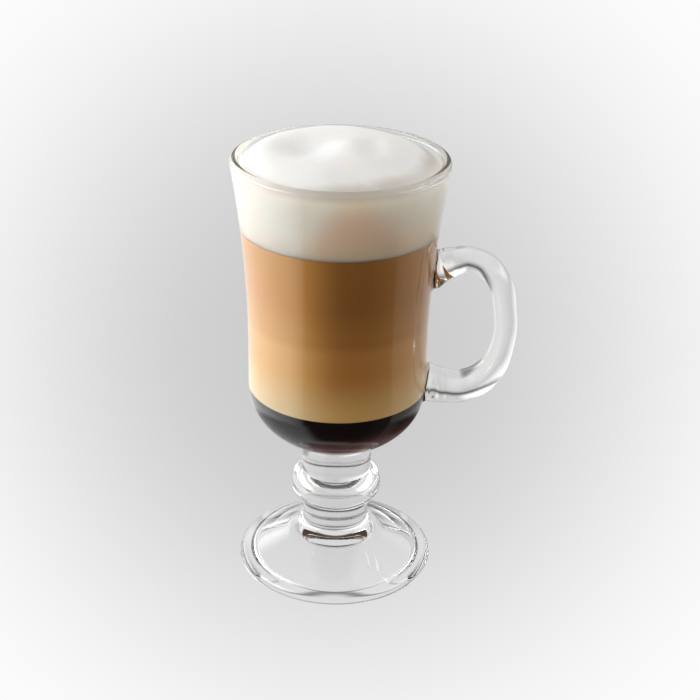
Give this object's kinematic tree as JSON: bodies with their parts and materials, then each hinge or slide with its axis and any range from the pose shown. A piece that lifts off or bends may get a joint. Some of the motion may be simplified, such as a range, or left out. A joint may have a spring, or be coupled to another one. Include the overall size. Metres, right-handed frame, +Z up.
{
  "type": "layered latte in a footed glass",
  "caption": "Layered latte with a dome of milk foam in a footed coffee glass with a knopped stem and a loop handle.",
  "frame": {"origin": "bottom centre of the whole, on the surface it stands on, halfway between the rim's far side and the handle's outside", "axes": "+Z up along the glass, +X towards the handle, +Y across the handle to the back as seen in the picture"},
  "size_m": [0.0983, 0.0734, 0.1585],
  "materials": {
    "glass": "clear and polished",
    "dark_layer": "dark liquid",
    "golden_layer": "milky liquid",
    "brown_layer": "milky liquid",
    "milk_foam": "fine matt foam"
  },
  "bodies": {
    "root": {"glass": "glass", "dark_layer": "dark_layer", "golden_layer": "golden_layer", "brown_layer": "brown_layer", "milk_foam": "milk_foam"}
  },
  "joints": []
}
